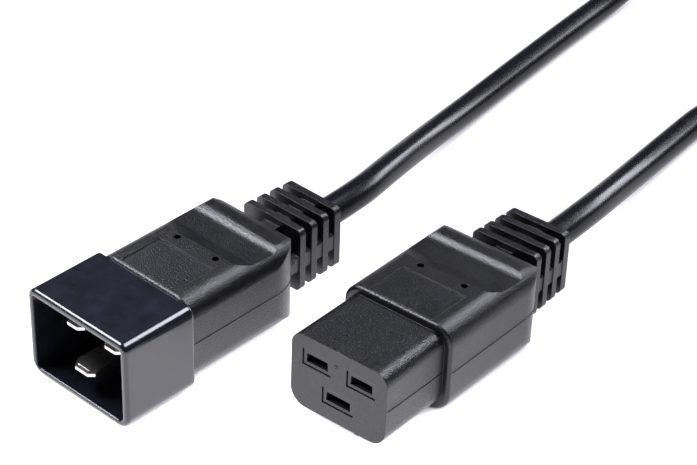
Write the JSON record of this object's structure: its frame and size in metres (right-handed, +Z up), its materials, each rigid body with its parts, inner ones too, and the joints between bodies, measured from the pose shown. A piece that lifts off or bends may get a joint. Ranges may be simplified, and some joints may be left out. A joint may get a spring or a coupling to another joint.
{
  "type": "mains lead with c19 connector",
  "caption": "Black moulded mains lead: a rectangular three-slot connector with slotted strain relief, a round cord in a tied coil, and a shrouded three-blade plug.",
  "frame": {"origin": "under the middle of the C19 connector, on the surface that it lies on", "axes": "+Y along the connector from its mating face towards the cord, +X to the right seen from in front of the mating face, +Z up"},
  "size_m": [0.1278, 0.3615, 0.0259],
  "materials": {
    "soft_pvc": "moulded soft PVC with a spark-eroded grain",
    "hard_insert": "moulded hard plastic",
    "shroud_plastic": "moulded hard plastic, polished tool",
    "contact_metal": "folded brass strip",
    "blade_metal": "nickel-plated brass",
    "core_brown": "extruded PVC",
    "core_blue": "extruded PVC",
    "core_green_yellow": "extruded PVC, two colours",
    "copper": "stranded bare copper",
    "cord_sheath": "extruded PVC, semi-gloss",
    "tie_plastic": "soft plastic strip"
  },
  "bodies": {
    "root": {"c19_overmould": "soft_pvc", "c20_overmould": "soft_pvc", "c19_contact_carrier": "hard_insert", "c20_shroud": "shroud_plastic", "c19_live_contact": "contact_metal", "c20_live_blade": "blade_metal", "c19_neutral_contact": "contact_metal", "c20_neutral_blade": "blade_metal", "c19_earth_contact": "contact_metal", "c20_earth_blade": "blade_metal", "c19_live_core": "core_brown", "c19_live_conductor": "copper", "c19_neutral_core": "core_blue", "c19_neutral_conductor": "copper", "c19_earth_core": "core_green_yellow", "c19_earth_conductor": "copper", "c20_live_core": "core_brown", "c20_live_conductor": "copper", "c20_neutral_core": "core_blue", "c20_neutral_conductor": "copper", "c20_earth_core": "core_green_yellow", "c20_earth_conductor": "copper", "cord_c19_run": "cord_sheath", "cord_c20_run": "cord_sheath", "cord_coil": "cord_sheath", "coil_tie": "tie_plastic"}
  },
  "joints": []
}
